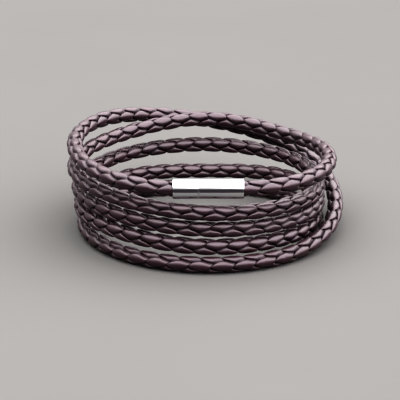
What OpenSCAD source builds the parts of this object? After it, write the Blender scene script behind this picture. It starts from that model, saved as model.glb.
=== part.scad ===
// A braided leather wrap bracelet, lying coiled as it is laid down: one long
// cord of four plaited laces that goes round five times, and a round steel
// clasp in two halves that holds both its ends. The cord is drawn here as a
// plain tube as thick as the braid. +Z is up, the clasp faces -Y, and the
// origin is on the surface under the middle of the coil.

/* [Cord] */
// Thickness of the round braid
cord_d = 4.4; // [3:0.1:4.4]
// Sides of the tube that stands for the braid
cord_sides = 12; // [8:2:16]

/* [Coil] */
// Radius of the ring that the five laps lie around
ring_r = 33; // [30:0.5:45]

/* [Clasp] */
// Length of the closed clasp
clasp_l = 18; // [16:0.5:24]
// Outer diameter of the clasp
clasp_d = 5.2; // [5:0.1:7]
// Height of the clasp's axis above the surface
clasp_z = 21.7; // [21:0.1:23]
// Length of the short half, which carries the plug
short_l = 6.5; // [6:0.1:8]
// Depth that each end of the cord goes into the clasp
cord_in = 4.5; // [3:0.1:5]
// Diameter of the plug between the halves
plug_d = 3; // [2:0.1:3.8]
// Length of the plug past the seam
plug_l = 2.6; // [1.5:0.1:4]
// Chamfer round both ends and both sides of the seam
edge = 0.2; // [0.1:0.05:0.5]

/* [Hidden] */
$fn = 48;

// Clearances: cord in its holes, plug in its socket, and the seam
cord_fit = 0.1;
plug_fit = 0.1;
seam = 0.1;

// The laps, from the clasp's right end round to its left end, one row a lap.
// A lap starts at the front and goes round by the right, the back and the left.
// columns: front, front_right, right, back_right, back, back_left, left, front_left
// Height of the cord's axis
LAP_Z = [
    [21.5, 21.5, 20.5, 19.5, 21.0, 19.0, 18.0, 17.2],
    [15.5, 14.5, 13.0, 13.0, 13.0, 12.5, 12.0, 12.4],
    [11.0,  9.7,  8.5,  7.5,  6.2,  6.7,  7.4,  7.8],
    [ 6.4,  5.0,  3.2,  2.2,  2.2,  2.2,  2.2,  2.2],
    [ 2.2,  2.6,  7.0, 13.5, 19.0, 23.5, 24.0, 22.5]];
// How far the cord's axis lies outside the ring, or inside it below 0
LAP_OUT = [
    [ 2.0,  2.0, -0.5, -1.5, -0.5,  0.8,  3.0,  2.0],
    [ 0.5, -1.0, -3.0, -2.0,  0.0,  1.5,  2.0,  1.5],
    [ 0.0, -2.0, -3.0, -3.5, -4.0, -1.0,  1.5,  1.5],
    [ 0.5, -2.5, -3.2, -3.6, -6.0, -2.5,  0.5,  1.5],
    [ 2.5,  2.0,  2.0,  4.0,  4.5,  4.2,  3.0,  3.0]];
FRONT = 0;
RIGHT = 2;
BACK = 4;
LEFT = 6;
// The clasp is straight, so it lies a little inside the ring
clasp_y = ring_r - 0.5;

// Turn angle between two columns, and the whole way round
column_turn = 360 / len(LAP_Z[0]);
whole_turn = 360 * len(LAP_Z);
// Tube rings in a lap
rings_per_lap = 16;

// The box round the whole coil is centred on the origin
function column(i) = [for (row = LAP_OUT) row[i]];
coil_x = (max(column(LEFT)) - max(column(RIGHT))) / 2;
coil_y = (max(column(FRONT)) - max(column(BACK))) / 2;

// All laps one after another, with the clasp's place at both ends
function in_one_row(laps) = [for (row = laps) for (v = row) v];
HEIGHTS = concat(in_one_row(LAP_Z), [LAP_Z[0][FRONT]]);
OUTS = concat(in_one_row(LAP_OUT), [LAP_OUT[0][FRONT]]);

// A smooth curve through a row of values, one for each column_turn
function knot(row, i) = row[min(max(i, 0), len(row) - 1)];
function slope(row, i) = (knot(row, i + 1) - knot(row, i - 1)) / 2;
function between(a, b, slope_a, slope_b, f) =
    (2 * f * f * f - 3 * f * f + 1) * a + (f * f * f - 2 * f * f + f) * slope_a
    + (3 * f * f - 2 * f * f * f) * b + (f * f * f - f * f) * slope_b;
function along(row, turn) =
    let (i = min(floor(turn / column_turn), len(row) - 2), f = turn / column_turn - i)
    between(knot(row, i), knot(row, i + 1), slope(row, i), slope(row, i + 1), f);

// Turn angle of the clasp's mouth, where the cord stops being straight
mouth_turn = atan2(clasp_l / 2, clasp_y);
// Turn angle of the cord's end inside the clasp
end_turn = atan2(clasp_l / 2 - cord_in, clasp_y);
// The lead is the stretch from a mouth to the next column. It starts straight.
mouth_r = clasp_y / cos(mouth_turn);
mouth_slope = mouth_r * tan(mouth_turn) * column_turn * PI / 180;
function lead(row, start, start_slope, turn) =
    let (right = turn < whole_turn / 2,
         i = right ? 1 : len(row) - 2,
         a = right ? turn : whole_turn - turn,
         part = (column_turn - mouth_turn) / column_turn,
         way = right ? 1 : -1)
    between(start, knot(row, i), start_slope * part, way * slope(row, i) * part,
            (a - mouth_turn) / (column_turn - mouth_turn));

// Radius and height of the cord's axis at a turn angle, and its place
function from_clasp(turn) = min(turn, whole_turn - turn);
function radius_at(turn) =
    from_clasp(turn) <= mouth_turn ? clasp_y / cos(turn)
    : from_clasp(turn) < column_turn
        ? ring_r + lead(OUTS, mouth_r - ring_r, mouth_slope, turn)
        : ring_r + along(OUTS, turn);
function height_at(turn) =
    from_clasp(turn) <= mouth_turn ? clasp_z
    : from_clasp(turn) < column_turn ? lead(HEIGHTS, clasp_z, 0, turn)
        : max(along(HEIGHTS, turn), cord_d / 2);
function place(turn) = [
    coil_x + radius_at(turn) * sin(turn),
    coil_y - radius_at(turn) * cos(turn),
    height_at(turn)];

// Turn angles of the tube's rings: the ends, the mouths and even steps between
ring_turn = 360 / rings_per_lap;
RING_TURNS = concat(
    [end_turn, mouth_turn],
    [for (turn = [ring_turn : ring_turn : whole_turn - ring_turn]) turn],
    [whole_turn - mouth_turn, whole_turn - end_turn]);

// One ring of the tube, square to the cord, from its outer side round by the top
function unit(v) = v / norm(v);
function ring(turn) =
    let (along_cord = unit(place(turn + 0.5) - place(turn - 0.5)),
         outwards = unit(cross(along_cord, [0, 0, 1])),
         upwards = cross(outwards, along_cord))
    [for (k = [0 : cord_sides - 1])
        place(turn) + cord_d / 2
            * (cos(360 * k / cord_sides) * outwards + sin(360 * k / cord_sides) * upwards)];

// Tube through a list of rings, closed by a flat face at each end
module tube(rings) {
    n = len(rings[0]);
    last = len(rings) - 1;
    start_face = [for (k = [n - 1 : -1 : 0]) k];
    end_face = [for (k = [0 : n - 1]) last * n + k];
    walls = [for (i = [0 : last - 1]) for (k = [0 : n - 1])
        let (a = i * n + k, b = i * n + (k + 1) % n)
            each [[a, b, b + n], [a, b + n, a + n]]];
    polyhedron(points = [for (r = rings) each r],
               faces = concat([start_face], [end_face], walls));
}

module braided_cord() {
    color([0.24, 0.18, 0.17])
        tube([for (turn = RING_TURNS) ring(turn)]);
}

// The clasp's axis runs along X. Inside place_clasp it is +Z, from the left end.
module place_clasp() {
    translate([coil_x - clasp_l / 2, coil_y - clasp_y, clasp_z])
        rotate([0, 90, 0]) children();
}

// A turned barrel from z = 0 with a chamfer round both ends
module barrel(length) {
    r = clasp_d / 2;
    rotate_extrude()
        polygon([[0, 0], [r - edge, 0], [r, edge], [r, length - edge],
                 [r - edge, length], [0, length]]);
}

module cord_hole(from_z) {
    translate([0, 0, from_z])
        cylinder(h = cord_in + 1, d = cord_d + 2 * cord_fit);
}

// Right-hand, longer half: a hole for the cord, and a socket for the plug
module clasp_socket() {
    seam_z = short_l + seam;
    color([0.78, 0.78, 0.8])
        place_clasp()
            difference() {
                translate([0, 0, seam_z]) barrel(clasp_l - seam_z);
                cord_hole(clasp_l - cord_in - cord_fit);
                translate([0, 0, short_l])
                    cylinder(h = plug_l + 2 * plug_fit, d = plug_d + 2 * plug_fit);
            }
}

// Left-hand, shorter half: a hole for the cord, and the plug past the seam
module clasp_plug() {
    color([0.78, 0.78, 0.8])
        place_clasp() {
            difference() {
                barrel(short_l);
                cord_hole(cord_fit - 1);
            }
            translate([0, 0, short_l - edge])
                cylinder(h = plug_l + edge, d = plug_d);
        }
}

braided_cord();
clasp_socket();
clasp_plug();
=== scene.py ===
# %% [markdown]
# # A braided leather wrap bracelet
#
# One long cord, plaited from four leather laces, goes round the wrist five times. Its ends are
# glued into the two halves of a polished steel clasp. Here it lies loosely coiled, as it is laid
# down after wearing.
#
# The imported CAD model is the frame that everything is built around. It gives the clasp's place
# and the box that the coil has to stay in. Blender works in metres, and sizes that are easier to
# read in millimetres are multiplied by MM.

# %% The frame
import math
import random

import bpy
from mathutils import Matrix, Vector


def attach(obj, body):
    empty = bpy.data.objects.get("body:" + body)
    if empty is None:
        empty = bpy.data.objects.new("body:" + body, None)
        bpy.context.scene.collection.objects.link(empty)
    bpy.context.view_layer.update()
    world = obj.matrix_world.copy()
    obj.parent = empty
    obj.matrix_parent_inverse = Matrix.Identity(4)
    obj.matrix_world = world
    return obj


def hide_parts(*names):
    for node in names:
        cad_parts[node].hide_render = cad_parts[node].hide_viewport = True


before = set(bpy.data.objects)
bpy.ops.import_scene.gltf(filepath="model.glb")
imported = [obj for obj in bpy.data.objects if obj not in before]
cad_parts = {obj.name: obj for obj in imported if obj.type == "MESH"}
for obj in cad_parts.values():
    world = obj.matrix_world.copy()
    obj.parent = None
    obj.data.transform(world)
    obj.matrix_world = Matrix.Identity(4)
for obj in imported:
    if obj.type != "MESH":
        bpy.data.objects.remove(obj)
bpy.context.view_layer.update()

MM = 0.001


def deselect():
    bpy.ops.object.select_all(action="DESELECT")


# The frame's own nodes are selected when it has been loaded, and an operator would change them
deselect()
print("CAD nodes:", ", ".join(sorted(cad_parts)))

# %% [markdown]
# ## The camera
#
# The picture looks a little down on the coil from the clasp's side. A long lens from 0.44 m away
# keeps the front and the back of the coil nearly the same size, as in a product close-up. A short
# lens nearer by would fit the coil in as well, but it would swell the clasp and shrink the back.
# The camera comes first, because every later choice is judged through it.

# %% Camera
CAMERA_PLACE = (-0.0016, -0.4172, 0.1532)
CAMERA_DOWN = 19.32
LENS_MM = 144.6
SENSOR_MM = 36
NEAREST = 20 * MM

bpy.ops.object.camera_add(
    location=CAMERA_PLACE, rotation=(math.radians(90 - CAMERA_DOWN), 0, 0))
camera = bpy.context.object
camera.name = "camera"
camera.data.sensor_width = SENSOR_MM
camera.data.lens = LENS_MM
camera.data.clip_start = NEAREST
bpy.context.scene.camera = camera
print("camera looks down by", CAMERA_DOWN, "degrees")

# %% [markdown]
# ## The way of the cord
#
# The cord's centre line is the same as in the CAD source: five laps round a ring, each lap with
# its own heights and its own distance from the ring, eight places a lap. Between two places it
# follows a smooth cubic, and at the clasp it is straight, because the clasp is rigid.
#
# It could be drawn by hand as a curve. A table is better here, because the CAD tube and the
# laces then share one route to the last decimal.

# %% Tables of the route
# Places in a lap: front, front_right, right, back_right, back, back_left, left, front_left
# Height of the cord's centre line in mm, one row a lap
LAP_Z = [
    [21.5, 21.5, 20.5, 19.5, 21.0, 19.0, 18.0, 17.2],
    [15.5, 14.5, 13.0, 13.0, 13.0, 12.5, 12.0, 12.4],
    [11.0, 9.7, 8.5, 7.5, 6.2, 6.7, 7.4, 7.8],
    [6.4, 5.0, 3.2, 2.2, 2.2, 2.2, 2.2, 2.2],
    [2.2, 2.6, 7.0, 13.5, 19.0, 23.5, 24.0, 22.5]]
# How far it lies outside the ring in mm, or inside it below 0
LAP_OUT = [
    [2.0, 2.0, -0.5, -1.5, -0.5, 0.8, 3.0, 2.0],
    [0.5, -1.0, -3.0, -2.0, 0.0, 1.5, 2.0, 1.5],
    [0.0, -2.0, -3.0, -3.5, -4.0, -1.0, 1.5, 1.5],
    [0.5, -2.5, -3.2, -3.6, -6.0, -2.5, 0.5, 1.5],
    [2.5, 2.0, 2.0, 4.0, 4.5, 4.2, 3.0, 3.0]]
RING_R = 33.0
CORD_R = 2.2
# The straight clasp: how far its axis is in front of the coil's middle, its height, its length,
# and how deep the cord goes into it
CLASP_Y = RING_R - 0.5
CLASP_Z = 21.7
CLASP_L = 18.0
CORD_IN = 4.5
# The middle of the ring, which puts the middle of the coil's box on the origin
COIL_X = 0.5
COIL_Y = -1.0

HEIGHTS = [z for lap in LAP_Z for z in lap] + [LAP_Z[0][0]]
OUTS = [out for lap in LAP_OUT for out in lap] + [LAP_OUT[0][0]]
PLACE_TURN = 45.0
WHOLE_TURN = 360.0 * len(LAP_Z)
MOUTH_TURN = math.degrees(math.atan2(CLASP_L / 2, CLASP_Y))
END_TURN = math.degrees(math.atan2(CLASP_L / 2 - CORD_IN, CLASP_Y))
print("the cord turns through", WHOLE_TURN, "degrees")


# %% A smooth curve through a table
def knot(row, i):
    """A value of the row. Past its ends the first or the last one goes on."""
    return row[min(max(i, 0), len(row) - 1)]


def slope(row, i):
    return (knot(row, i + 1) - knot(row, i - 1)) / 2


def between(a, b, slope_a, slope_b, f):
    """The cubic that leaves a and reaches b at the two slopes, at a part f of the way."""
    return ((2 * f**3 - 3 * f**2 + 1) * a + (f**3 - 2 * f**2 + f) * slope_a
            + (3 * f**2 - 2 * f**3) * b + (f**3 - f**2) * slope_b)


def along(row, turn, step=PLACE_TURN):
    """The row's value at a turn angle, where its values stand a step apart."""
    i = min(int(turn / step), len(row) - 2)
    return between(knot(row, i), knot(row, i + 1), slope(row, i), slope(row, i + 1),
                   turn / step - i)


# %% From the clasp's mouths into the laps
MOUTH_R = CLASP_Y / math.cos(math.radians(MOUTH_TURN))
MOUTH_SLOPE = MOUTH_R * math.tan(math.radians(MOUTH_TURN)) * math.radians(PLACE_TURN)


def lead(row, start, start_slope, turn):
    """From a mouth of the clasp to the next place of the table. It leaves the mouth straight."""
    on_right = turn < WHOLE_TURN / 2
    i = 1 if on_right else len(row) - 2
    away = turn if on_right else WHOLE_TURN - turn
    part = (PLACE_TURN - MOUTH_TURN) / PLACE_TURN
    way = 1 if on_right else -1
    return between(start, knot(row, i), start_slope * part, way * slope(row, i) * part,
                   (away - MOUTH_TURN) / (PLACE_TURN - MOUTH_TURN))


def cord_point(turn):
    """Where the cord's centre line is at a turn angle, in metres."""
    from_clasp = min(turn, WHOLE_TURN - turn)
    if from_clasp <= MOUTH_TURN:
        radius, height = CLASP_Y / math.cos(math.radians(turn)), CLASP_Z
    elif from_clasp < PLACE_TURN:
        radius = RING_R + lead(OUTS, MOUTH_R - RING_R, MOUTH_SLOPE, turn)
        height = lead(HEIGHTS, CLASP_Z, 0, turn)
    else:
        radius = RING_R + along(OUTS, turn)
        height = max(along(HEIGHTS, turn), CORD_R)
    angle = math.radians(turn)
    return Vector((COIL_X + radius * math.sin(angle), COIL_Y - radius * math.cos(angle),
                   height)) * MM


# %% Measure the cord
# The route's points: both ends, both mouths, and even steps between them
TURN_STEP = 5.0
STEPS = int(WHOLE_TURN / TURN_STEP)
FIRST_STEP = math.ceil(MOUTH_TURN / TURN_STEP)
cord_turns = [END_TURN, MOUTH_TURN]
cord_turns += [i * TURN_STEP for i in range(FIRST_STEP, STEPS - FIRST_STEP + 1)]
cord_turns += [WHOLE_TURN - MOUTH_TURN, WHOLE_TURN - END_TURN]
# Much finer steps add up to the length of the curve
FINE_STEPS = 7200
fine_step = (WHOLE_TURN - 2 * END_TURN) / FINE_STEPS
fine_turns = [END_TURN + i * fine_step for i in range(FINE_STEPS + 1)]
fine_points = [cord_point(turn) for turn in fine_turns]
CORD_LENGTH = sum((b - a).length for a, b in zip(fine_points, fine_points[1:]))
print("cord length, m:", round(CORD_LENGTH, 4))

# %% [markdown]
# ## The route as a Blender curve
#
# A curve object carries the route, and later bends a straight braid along itself. Its Z-up twist
# keeps "up" the same all the way round. The tilt of its points lets the rows of plaits wander
# slowly round the cord, as they do on a real one that has been handled.
#
# No plait is pulled quite as tight as the next. So every point of the curve also gets a small
# random turn and a slightly smaller radius, from a seeded row of numbers that is always the same.

# %% Route curve
# How far the rows of plaits have turned round the cord, in degrees, at each front and back
PLAITS_TURNED = [0, 45, -35, -35, 50, 44, 40, 22, 5, 2, 0]
HALF_LAP = 180.0
# How far a single plait is turned at most, and how thin the cord is at its tightest
UNEVEN_TURN = 6.0
TIGHTEST = 0.96
PULL_SEED = 4
CURVE_STEPS = 6


def route_curve():
    data = bpy.data.curves.new("route", "CURVE")
    data.dimensions = "3D"
    data.twist_mode = "Z_UP"
    data.resolution_u = CURVE_STEPS
    spline = data.splines.new("BEZIER")
    spline.bezier_points.add(len(cord_turns) - 1)
    pull = random.Random(PULL_SEED)
    for point, turn in zip(spline.bezier_points, cord_turns):
        point.co = cord_point(turn)
        point.handle_left_type = point.handle_right_type = "AUTO"
        point.radius = pull.uniform(TIGHTEST, 1)
        turned = along(PLAITS_TURNED, turn, HALF_LAP) + pull.uniform(-UNEVEN_TURN, UNEVEN_TURN)
        point.tilt = -math.radians(turned)
    curve = bpy.data.objects.new("route", data)
    bpy.context.scene.collection.objects.link(curve)
    return curve


route = route_curve()
print("route points:", len(route.data.splines[0].bezier_points))

# %% [markdown]
# ## One pitch of one lace
#
# In a round braid of four, two laces wind one way and two the other, and each goes over one and
# under the next. After one pitch a lace is back where it began. So one pitch is all that has to
# be modelled: it is then repeated from end to end.
#
# A lace is a strip of leather with a slightly crowned face and two cut edges. Its path is worked
# out from two angles. One tells how far a point is across its own lace, the other how far it is
# across the lace that crosses it. Where both are small the lace is on top, and half a turn further
# it is underneath. There it is squeezed inwards and fills the middle of the cord.
#
# Pulled tight, real laces don't run as even spirals. On top they turn along the cord, which makes
# each plait a long leaf, and where they dive they are pinched, which leaves the short dark notches
# between the plaits of a row. It could be simulated, but two sine waves and a pinch give the same
# shapes and can be set one by one.

# %% Numbers of the braid
PITCHES = 94
PITCH = CORD_LENGTH / PITCHES
# Rings of points in a pitch, and how much closer they stand where the lace dives
RINGS = 48
CLOSER_RINGS = 0.6
# Half a lace's width, as an angle round the cord, and what it loses where it dives
HALF_WIDTH = math.radians(85)
PINCHED = math.radians(14)
# How far a lace turns along the cord where it is on top
LONGER = 0.36
# Radius of a lace's path at mid-height, and how far it rises and sinks from there
MIDDLE_R = 1.27 * MM
RISE = 0.45 * MM
# The outer face stands on cut edges this high, with a pillow this high on it
EDGE_H = 0.34 * MM
PILLOW_H = 0.14 * MM
# How far the inner face is below the path, and how much more where the lace is underneath
INNER = 0.35 * MM
SQUEEZED_IN = 0.30 * MM
# A small number makes the dive sudden, a large one makes it slow
STEEP_ACROSS = 0.06
STEEP_ALONG = 0.45

# Points round a lace's section: across from edge to edge, and on which face (1 is the outside)
SECTION = [(-1, 0), (-0.97, 1), (-0.88, 1), (-0.66, 1), (-0.34, 1), (0, 1), (0.34, 1),
           (0.66, 1), (0.88, 1), (0.97, 1), (1, 0), (0.9, -1), (0.5, -1), (0, -1),
           (-0.5, -1), (-0.9, -1)]
print("pitch, mm:", round(PITCH / MM, 2), "plait, mm:", round(PITCH / MM / 2, 2))


# %% Shape of a lace
def squared(cosine, steepness):
    """A cosine wave with flatter tops and steeper sides."""
    return cosine * math.sqrt((1 + steepness**2) / (cosine**2 + steepness**2))


def on_top(way, off, crossing):
    """1 where the lace is on top of the one that crosses it, -1 where it is underneath."""
    return (way * squared(math.cos(off), STEEP_ACROSS)
            * squared(math.cos(crossing), STEEP_ALONG))


def outer_face(across):
    """How far the outer face stands out from the lace's path."""
    return EDGE_H * math.sqrt(1 - across**8) + PILLOW_H * (1 - across**2)


def lace_point(way, start, pitch_part, across, face):
    """A point of a lace. way is 1 or -1, start is its first angle round the cord."""
    crossing = 4 * math.pi * pitch_part
    crossing += CLOSER_RINGS / 2 * math.sin(2 * crossing)
    off = across * (HALF_WIDTH - PINCHED * math.sin(crossing)**2)
    top = on_top(way, off, crossing)
    round_cord = off - LONGER * math.sin(crossing)
    turned = (crossing - way * LONGER * math.sin(off) - way * round_cord) / 2
    radius = MIDDLE_R + RISE * top
    if face > 0:
        radius += outer_face(across)
    elif face < 0:
        radius -= INNER + SQUEEZED_IN * ((1 - top) / 2)**2
    angle = start + way * turned + round_cord
    place = (turned / (2 * math.pi) - 0.5) * PITCH
    return (place, -radius * math.cos(angle), radius * math.sin(angle)), top


# %% [markdown]
# ## The four laces
#
# Each lace starts as a grid: its long side runs along the cord, its short side is rolled up into
# the lace's closed section. An Array repeats the pitch from end to end and welds the joints, and
# a Curve modifier lays the straight lace along the route. The two cut ends are inside the clasp,
# and are filled so that the lace is solid. A lace could also be swept along its own winding curve,
# but then its section would not change where it is pinched and squeezed.
#
# Two numbers are kept at every point for the leather: how high it stands in the braid, and how
# far out it is from the lace's middle to its cut edge.

# %% Helpers for meshes
# Points closer than this are one point
SAME_POINT = 0.001 * MM


def apply_all(piece):
    """Makes a piece's modifiers part of its mesh."""
    bpy.context.view_layer.objects.active = piece
    for modifier in list(piece.modifiers):
        bpy.ops.object.modifier_apply(modifier=modifier.name)


def in_edit_mode(piece, *steps):
    """Runs mesh operators on a whole piece."""
    deselect()
    piece.select_set(True)
    bpy.context.view_layer.objects.active = piece
    bpy.ops.object.mode_set(mode="EDIT")
    bpy.ops.mesh.select_all(action="SELECT")
    for step in steps:
        step()
    bpy.ops.object.mode_set(mode="OBJECT")


def triangles(piece):
    return sum(len(face.vertices) - 2 for face in piece.data.polygons)


# %% Roll a grid up into a lace
def roll_up(piece, way, start):
    """Lays a flat grid's points on a lace, and keeps two numbers of each for the leather."""
    mesh = piece.data
    for name in ("raised", "edge"):
        mesh.attributes.new(name, "FLOAT", "POINT")
    points = len(SECTION)
    for i, vertex in enumerate(mesh.vertices):
        pitch_part = vertex.co.x + 0.5
        across, face = SECTION[round((vertex.co.y + 0.5) * points) % points]
        vertex.co, top = lace_point(way, start, pitch_part, across, face)
        mesh.attributes["raised"].data[i].value = (1 + top) / 2 if face >= 0 else 0
        mesh.attributes["edge"].data[i].value = abs(across)


# %% Make a lace
def lace(name, way, start):
    bpy.ops.mesh.primitive_grid_add(x_subdivisions=RINGS, y_subdivisions=len(SECTION), size=1)
    piece = bpy.context.object
    piece.name = piece.data.name = name
    roll_up(piece, way, start)
    in_edit_mode(piece, lambda: bpy.ops.mesh.remove_doubles(threshold=SAME_POINT))

    array = piece.modifiers.new("pitches", "ARRAY")
    array.count = PITCHES + 1
    array.use_relative_offset = False
    array.use_constant_offset = True
    array.constant_offset_displace = (PITCH, 0, 0)
    array.use_merge_vertices = True
    array.merge_threshold = SAME_POINT
    apply_all(piece)
    for place, clear in ((0, {"clear_inner": True}), (CORD_LENGTH, {"clear_outer": True})):
        in_edit_mode(piece, lambda: bpy.ops.mesh.bisect(
            plane_co=(place, 0, 0), plane_no=(1, 0, 0), threshold=SAME_POINT,
            use_fill=True, **clear))
    bend = piece.modifiers.new("along the route", "CURVE")
    bend.object = route
    bend.deform_axis = "POS_X"
    apply_all(piece)

    in_edit_mode(piece, lambda: bpy.ops.mesh.normals_make_consistent(inside=False))
    bpy.ops.object.shade_smooth()
    return piece


laces = [lace("lace_1", 1, 0), lace("lace_2", 1, math.pi),
         lace("lace_3", -1, 0), lace("lace_4", -1, math.pi)]
bpy.data.objects.remove(route)
print("triangles a lace:", [triangles(piece) for piece in laces])

# %% [markdown]
# ## The clasp
#
# Each half is a turned steel barrel, and a lathe makes it from a profile. Blender's spin does the
# same: the profile is a row of points from the axis to the rim, and it is spun once round. Two
# cylinders with holes cut into them would do as well, but their chamfers would need more steps.
#
# Both ends of the clasp have a small rounded chamfer, which catches the light as a fine line. At
# the seam the edges are only just broken, so that the closed clasp looks like one barrel.

# %% Sizes of the clasp
CLASP_R = 2.6
SHORT_L = 6.5
SEAM = 0.1
# Chamfers at the ends and at the seam, and the part of one at which it bulges out
EDGE = 0.2
SEAM_EDGE = 0.07
BULGE = 0.3
# The holes for the cord, with a broken edge and room for glue at the bottom
BORE_R = 2.3
LIP = 0.04
BORE_SPARE = 0.1
# The plug past the seam, and the room round it in its socket
PLUG_R = 1.5
PLUG_L = 2.6
PLUG_SPARE = 0.1
CLASP_LEFT = COIL_X - CLASP_L / 2
ROUND_STEPS = 96
# Edges that turn by more than this stay sharp
SHARP = math.radians(38)


def chamfer(face_at, inwards, size):
    """The rounded edge from a flat face out to the barrel, as (place along the axis, radius)."""
    return [(face_at, CLASP_R - size),
            (face_at + inwards * size * BULGE, CLASP_R - size * BULGE),
            (face_at + inwards * size, CLASP_R)]


def barrel_profile(mouth, seam_face, inwards):
    """From the floor of the cord's hole out over the barrel to the seam."""
    floor_at = mouth + inwards * (CORD_IN + BORE_SPARE)
    return [(floor_at, 0), (floor_at, BORE_R), (mouth + inwards * LIP, BORE_R),
            (mouth, BORE_R + LIP), *chamfer(mouth, inwards, EDGE),
            *reversed(chamfer(seam_face, -inwards, SEAM_EDGE))]


plug_profile = [(SHORT_L, PLUG_R), (SHORT_L + PLUG_L, PLUG_R), (SHORT_L + PLUG_L, 0)]
socket_end = SHORT_L + PLUG_L + 2 * PLUG_SPARE
socket_profile = [(SHORT_L + SEAM, PLUG_R + PLUG_SPARE), (socket_end, PLUG_R + PLUG_SPARE),
                  (socket_end, 0)]


# %% Spin the halves
def turned_half(name, profile):
    """Spins a profile, as (place along the axis, radius), once round the clasp's axis."""
    axis_place = Vector((0, COIL_Y - CLASP_Y, CLASP_Z)) * MM
    mesh = bpy.data.meshes.new(name)
    mesh.from_pydata([axis_place + Vector((CLASP_LEFT + x, 0, r)) * MM for x, r in profile],
                     [(i, i + 1) for i in range(len(profile) - 1)], [])
    piece = bpy.data.objects.new(name, mesh)
    bpy.context.scene.collection.objects.link(piece)
    in_edit_mode(piece,
                 lambda: bpy.ops.mesh.spin(steps=ROUND_STEPS, angle=2 * math.pi,
                                           center=axis_place, axis=(1, 0, 0)),
                 lambda: bpy.ops.mesh.select_all(action="SELECT"),
                 lambda: bpy.ops.mesh.remove_doubles(threshold=SAME_POINT),
                 lambda: bpy.ops.mesh.normals_make_consistent(inside=False))
    bpy.ops.object.shade_smooth_by_angle(angle=SHARP)
    return piece


short_half = turned_half("clasp_short_half", barrel_profile(0, SHORT_L, 1) + plug_profile)
long_half = turned_half("clasp_long_half",
                        barrel_profile(CLASP_L, SHORT_L + SEAM, -1) + socket_profile)
print("triangles in the clasp:", triangles(short_half) + triangles(long_half))


# %% [markdown]
# ## Shader maths
#
# Materials could be wired by hand in the shader editor. Here they are written as expressions,
# because a finish then reads like its recipe. A Value wraps one output socket, and each operator
# adds a Math node behind it, so that `1 - mask * 0.5` reads as it is meant. Every other node is
# added by one method, which sets the node up first and then fills or links its sockets.

# %% Value class
class Value:
    """An output socket that can be calculated with."""

    def __init__(self, socket, nodes):
        self.socket = socket
        self.nodes = nodes

    def maths(self, operation, *others):
        """Adds a Math node that works on this value and the others."""
        return self.nodes.add("ShaderNodeMath", {"operation": operation},
                              dict(enumerate([self, *others])))

    def __add__(self, other):
        return self.maths("ADD", other)

    def __sub__(self, other):
        return self.maths("SUBTRACT", other)

    def __rsub__(self, other):
        return self * -1 + other

    def __mul__(self, other):
        return self.maths("MULTIPLY", other)

    __radd__ = __add__
    __rmul__ = __mul__


# %% Nodes of a material
class Nodes:
    """The nodes of a material, or of the world round the scene."""

    def __init__(self, owner):
        owner.use_nodes = True
        self.tree = owner.node_tree

    def add(self, kind, settings, inputs, output=0):
        """Adds any node, and gives back one of its outputs to calculate with."""
        node = self.tree.nodes.new(kind)
        for name, value in settings.items():
            setattr(node, name, value)
        self.fill(node, inputs)
        return Value(node.outputs[output], self)

    def fill(self, node, inputs):
        """Gives sockets their numbers and colours, and links the ones that vary."""
        for key, value in inputs.items():
            if isinstance(value, Value):
                self.tree.links.new(value.socket, node.inputs[key])
            else:
                node.inputs[key].default_value = value


# %% Nodes that several finishes share
def between_marks(nodes, value, first, second):
    """0 up to the first mark, 1 past the second, and a smooth step between them."""
    return nodes.add("ShaderNodeMapRange", {"interpolation_type": "SMOOTHSTEP"},
                     {"Value": value, "From Min": first, "From Max": second})


def noise(nodes, place, scale, detail=2):
    """A cloudy pattern round 0.5, with about so many clouds to the metre."""
    return nodes.add("ShaderNodeTexNoise", {},
                     {"Vector": place, "Scale": scale, "Detail": detail})


def stretched(nodes, place, factors):
    """The place, stretched or squeezed along each axis, for patterns that are not round."""
    return nodes.add("ShaderNodeVectorMath", {"operation": "MULTIPLY"}, {0: place, 1: factors})


def mix_colours(nodes, part, first, second):
    """The first colour where the part is 0, the second where it is 1."""
    return nodes.add("ShaderNodeMix", {"data_type": "RGBA"},
                     {"Factor": part, "A": first, "B": second}, output="Result")


def bumps(nodes, height, distance, strength):
    """Shading as if the surface stood out by the height times the distance."""
    return nodes.add("ShaderNodeBump", {},
                     {"Height": height, "Distance": distance, "Strength": strength})


def new_finish(name):
    """A new material, its nodes, its surface shader and where a point is on the object."""
    material = bpy.data.materials.new(name)
    nodes = Nodes(material)
    place = nodes.add("ShaderNodeTexCoord", {}, {}, output="Object")
    return material, nodes, material.node_tree.nodes["Principled BSDF"], place


# %% [markdown]
# ## Leather
#
# The laces are smooth dyed leather, cut into strips and waxed. On such a strip the grain side is
# satin, with pebbles a fifth of a millimetre across, and the dye takes a little unevenly. The cut
# edges show raw fibre, which is paler and duller. Where the braid stands out, hands and cuffs have
# polished it. Down in the creases it is rougher, and its colour is darkened there as painted
# shade.
#
# All of it could be painted on an image. Here it is worked out from two numbers kept at every
# point of a lace, and from patterns at the real size of the pebbles and of uneven dye.

# %% Leather patterns
PEBBLES_PER_M = 5200
CREASES_PER_M = 900
DYE_PATCHES_PER_M = 170
# Between which marks a finish sets in: the first two by how raised a point is, the last by how
# near it is to a cut edge
POLISHED_AT = (0.80, 1.0)
SUNKEN_AT = (0.62, 0.30)
CUT_EDGE_AT = (0.90, 0.99)

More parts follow.
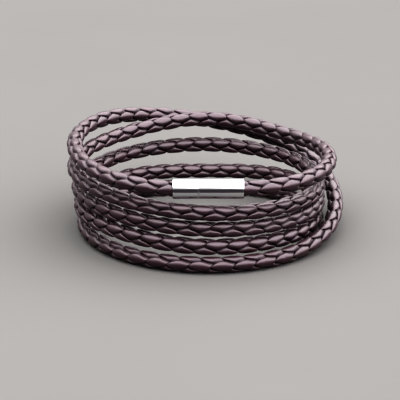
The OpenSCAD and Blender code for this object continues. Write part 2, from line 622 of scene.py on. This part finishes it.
leather, nodes, surface, place = new_finish("leather")
raised = nodes.add("ShaderNodeAttribute", {"attribute_name": "raised"}, {}, output="Fac")
edge = nodes.add("ShaderNodeAttribute", {"attribute_name": "edge"}, {}, output="Fac")
furrows = nodes.add("ShaderNodeTexVoronoi", {"feature": "F1"},
                    {"Vector": place, "Scale": PEBBLES_PER_M}, output="Distance")
fine_grain = noise(nodes, place, 2 * PEBBLES_PER_M, 3)
creases = noise(nodes, place, CREASES_PER_M, 4)
dye = noise(nodes, place, DYE_PATCHES_PER_M, 3)
fibre = noise(nodes, place, 3 * PEBBLES_PER_M)

polished = between_marks(nodes, raised, *POLISHED_AT)
# sunken is 1 low in the braid: the colour gets painted shade there, and the leather is rougher
sunken = between_marks(nodes, raised, *SUNKEN_AT)
cut_edge = between_marks(nodes, edge, *CUT_EDGE_AT)
print("leather pebbles, mm across:", round(1 / PEBBLES_PER_M / MM, 2))

# %% Leather colour
DYE_THICK = (0.0120, 0.0040, 0.0064, 1)
DYE_THIN = (0.0210, 0.0078, 0.0112, 1)
CREASED = (0.0080, 0.0026, 0.0044, 1)
RUBBED = (0.0260, 0.0098, 0.0135, 1)
RAW_FIBRE = (0.0540, 0.0280, 0.0310, 1)
# Painted shade: a near black colour for the leather down in the creases, where the laces dive
# under each other
CREASE_PAINTED_SHADE = (0.0062, 0.0020, 0.0034, 1)

tone = mix_colours(nodes, between_marks(nodes, dye, 0.35, 0.65), DYE_THICK, DYE_THIN)
tone = mix_colours(nodes, between_marks(nodes, creases, 0.52, 0.70) * 0.4, tone, CREASED)
tone = mix_colours(nodes, polished * 0.35, tone, RUBBED)
tone = mix_colours(nodes, cut_edge * fibre * 0.7, tone, RAW_FIBRE)
# Painted shade: the lower a point lies in the braid, the more of the near black colour it gets
tone = mix_colours(nodes, sunken * 0.8, tone, CREASE_PAINTED_SHADE)

# %% Leather shine and relief
WAXED_IOR = 1.7
WAX_GLINT = (1.0, 0.905, 0.966, 1)
GRAIN_DEPTH = 0.04 * MM

shine = 0.38 + 0.10 * fine_grain + 0.06 * creases - 0.07 * polished + 0.16 * sunken
shine = shine + 0.14 * cut_edge * fibre
relief = 1.2 * creases + 0.3 * fine_grain - 0.7 * furrows + 0.6 * cut_edge * fibre
nodes.fill(surface, {
    "Base Color": tone,
    "Roughness": shine,
    "Normal": bumps(nodes, relief, GRAIN_DEPTH, 0.6),
    "IOR": WAXED_IOR,
    "Specular Tint": WAX_GLINT})
for piece in laces:
    piece.data.materials.append(leather)
print("leather nodes:", len(leather.node_tree.nodes))

# %% [markdown]
# ## Steel
#
# The clasp is stainless steel, turned and then polished on a wheel. It mirrors the studio, so most
# of its look is the light round it. A hand-held wheel leaves it very slightly wavy, with faint
# rings round the barrel. Wear adds thin scratches along it, and a paler, duller line where the
# edges at both ends and at the seam have been rubbed.
#
# Brushed metal is often an image wrapped round the barrel. Noise that is squeezed along one axis
# gives the same rings and scratches at their real size, and needs no unwrapping.

# %% Steel patterns
RINGS_PER_M = 9000
SCRATCHES_PER_M = 12000
WAVES_PER_M = 260
# Patterns this much longer one way than the other
RING_STRETCH = 0.02
SCRATCH_STRETCH = 0.03
# Where rubbed edges are along the clasp, in mm, and how far from one the wear ends
RIM_AT = [CLASP_LEFT, CLASP_LEFT + SHORT_L + SEAM / 2, CLASP_LEFT + CLASP_L]
RIM_FADE = (0.15 * MM, 0.45 * MM)

steel, nodes, surface, place = new_finish("steel")
turning_rings = noise(nodes, stretched(nodes, place, (1, RING_STRETCH, RING_STRETCH)),
                      RINGS_PER_M)
scratches = noise(nodes, stretched(nodes, place, (SCRATCH_STRETCH, 1, 1)), SCRATCHES_PER_M, 1)
waves = noise(nodes, place, WAVES_PER_M, 1)
fingermarks = noise(nodes, place, WAVES_PER_M, 3)
along_x = nodes.add("ShaderNodeSeparateXYZ", {}, {0: place}, output="X")
rim = sum(1 - between_marks(nodes, (along_x - x * MM).maths("ABSOLUTE"), *RIM_FADE)
          for x in RIM_AT)
scratched = between_marks(nodes, scratches, 0.62, 0.70)
smudged = between_marks(nodes, fingermarks, 0.50, 0.75)

# %% Steel colour, shine and relief
BRIGHT = (0.610, 0.605, 0.620, 1)
SMUDGE = (0.540, 0.535, 0.540, 1)
WORN_EDGE = (0.690, 0.685, 0.680, 1)
WAVE_DEPTH = 0.06 * MM

steel_tone = mix_colours(nodes, smudged * 0.3, BRIGHT, SMUDGE)
steel_tone = mix_colours(nodes, rim * 0.4, steel_tone, WORN_EDGE)
nodes.fill(surface, {
    "Base Color": steel_tone,
    "Metallic": 1.0,
    "Roughness": 0.03 + 0.04 * turning_rings + 0.05 * smudged + 0.08 * scratched + 0.08 * rim,
    "Normal": bumps(nodes, waves + 0.02 * turning_rings - 0.02 * scratched, WAVE_DEPTH, 0.5)})
for piece in (short_half, long_half):
    piece.data.materials.append(steel)
print("steel nodes:", len(steel.node_tree.nodes))

# %% [markdown]
# ## Pieces ride on the frame
#
# The bracelet has no joints: it bends everywhere, and it lies still. So all pieces ride on the
# frame's root. The laces could have been laid over the CAD model's plain tube, but it would show
# in the notches between the plaits. So the four of them take its place, and each turned half takes
# the place of its half in the CAD model.

# %% Hang the pieces on the frame
for piece in laces:
    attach(piece, "root")
    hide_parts("braided_cord")
for piece, node in ((short_half, "clasp_plug"), (long_half, "clasp_socket")):
    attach(piece, "root")
    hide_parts(node)
print("pieces:", [piece.name for piece in [*laces, short_half, long_half]])

# %% [markdown]
# ## The floor
#
# A plain pale sheet of paper, as in a product studio. It could be swept up behind as a backdrop,
# but no wall is in view, so one flat plane is enough. Real paper is not quite even, so its tone
# wanders by a few parts in a hundred, and it has a faint tooth. It is so dull that it shows only
# the soft shadow under the coil.

# %% Floor
FLOOR_SIZE = 6
PAPER_DARK = (0.098, 0.095, 0.093, 1)
PAPER_LIGHT = (0.106, 0.103, 0.101, 1)
CLOUDS_PER_M = 9
TOOTH_PER_M = 2600
TOOTH_DEPTH = 0.1 * MM

bpy.ops.mesh.primitive_plane_add(size=FLOOR_SIZE)
floor = bpy.context.object
floor.name = floor.data.name = "floor"
floor_finish, nodes, surface, place = new_finish("paper")
clouds = noise(nodes, place, CLOUDS_PER_M, 3)
tooth = noise(nodes, place, TOOTH_PER_M, 3)
nodes.fill(surface, {
    "Base Color": mix_colours(nodes, clouds, PAPER_DARK, PAPER_LIGHT),
    "Roughness": 0.94 + 0.06 * tooth,
    "Specular IOR Level": 0.0,
    "Normal": bumps(nodes, tooth, TOOTH_DEPTH, 0.15)})
floor.data.materials.append(floor_finish)
print("floor at z", floor.location.z)

# %% [markdown]
# ## The black card
#
# A polished cylinder in a white room would look flat. Photographers set a black card in front of
# it, below the lens, and the cylinder then shows a dark band that gives it its roundness. The card
# is seen only in reflections: it casts no shadow, and neither the camera nor the dull surfaces
# see it. A dark patch in the world would do nearly the same, but a card can be moved like a real
# one.

# %% Card
# Its near and its far edge, as (y, z), and half its width, all in metres
CARD_NEAR = (-0.075, 0.0005)
CARD_FAR = (-0.40, 0.10)
CARD_HALF = 0.6
CARD_DARK = (0.022, 0.020, 0.023, 1)
CARD_LIGHT = (0.028, 0.025, 0.028, 1)
BLOTCHES_PER_M = 30

mesh = bpy.data.meshes.new("black_card")
mesh.from_pydata([(x, y, z) for y, z in (CARD_NEAR, CARD_FAR) for x in (-CARD_HALF, CARD_HALF)],
                 [], [(0, 1, 3, 2)])
card = bpy.data.objects.new("black_card", mesh)
bpy.context.scene.collection.objects.link(card)
card_finish, nodes, surface, place = new_finish("black_card")
blotches = noise(nodes, place, BLOTCHES_PER_M)
nodes.fill(surface, {
    "Base Color": mix_colours(nodes, blotches, CARD_DARK, CARD_LIGHT),
    "Roughness": 1.0,
    "Specular IOR Level": 0.0})
mesh.materials.append(card_finish)
card.visible_camera = False
card.visible_diffuse = False
card.visible_shadow = False
print("card from y", CARD_NEAR[0], "to y", CARD_FAR[0])

# %% [markdown]
# ## The light
#
# One large soft box hangs over the coil, a little longer from side to side than from front to
# back and reaching lower on the right. A much dimmer wall goes all round. The satin laces then
# catch a soft highlight along the upper part of every plait and fall to near black below it, and
# the clasp is white down to the black card's band.
#
# Lamps could do the same, but a soft box as wide as this is simplest as part of the world: how
# bright the world is depends only on how far a direction is from the box's middle.

# %% World
# How bright the box, the wall and everything below the floor's edge are
BOX_LIGHT = 4.3
WALL_LIGHT = 0.7
BELOW_LIGHT = 0.06
# How far the box is tipped away from the camera, and how wide it is from its middle to its edge
BOX_TIPPED = math.radians(-2)
BOX_HALF = math.radians(58)
# How soft its edge is, how much longer it is from side to side, and how far it reaches right
BOX_SOFT = 0.1
BOX_LONGER = 0.17
BOX_TO_RIGHT = 0.25
# The wall's foot is tipped too, and between these marks it fades into the dark
WALL_TIPPED = math.radians(15)
WALL_FOOT = (-0.10, 0.08)


def facing(nodes, direction, tipped):
    """The cosine of the angle to a line that is upright, but tipped away from the camera."""
    return nodes.add("ShaderNodeVectorMath", {"operation": "DOT_PRODUCT"},
                     {0: direction, 1: (0, math.sin(tipped), math.cos(tipped))}, output="Value")


world = bpy.data.worlds.new("studio")
bpy.context.scene.world = world
nodes = Nodes(world)
direction = nodes.add("ShaderNodeTexCoord", {}, {}, output="Generated")
above_floor = between_marks(nodes, facing(nodes, direction, WALL_TIPPED), *WALL_FOOT)
rightwards = nodes.add("ShaderNodeSeparateXYZ", {}, {0: direction}, output="X")
near_box = (facing(nodes, direction, BOX_TIPPED) + BOX_LONGER * rightwards.maths("ABSOLUTE")
            + BOX_TO_RIGHT * rightwards)
box_edge = math.cos(BOX_HALF)
in_box = between_marks(nodes, near_box, box_edge - BOX_SOFT, box_edge + BOX_SOFT)
light = BELOW_LIGHT + above_floor * (WALL_LIGHT - BELOW_LIGHT + in_box * (BOX_LIGHT - WALL_LIGHT))
nodes.fill(world.node_tree.nodes["Background"], {"Color": (1, 1, 1, 1), "Strength": light})
bpy.context.scene.view_settings.view_transform = "Standard"
bpy.context.scene.view_settings.look = "Very High Contrast"
print("soft box to wall, brightness:", BOX_LIGHT, "to", WALL_LIGHT)
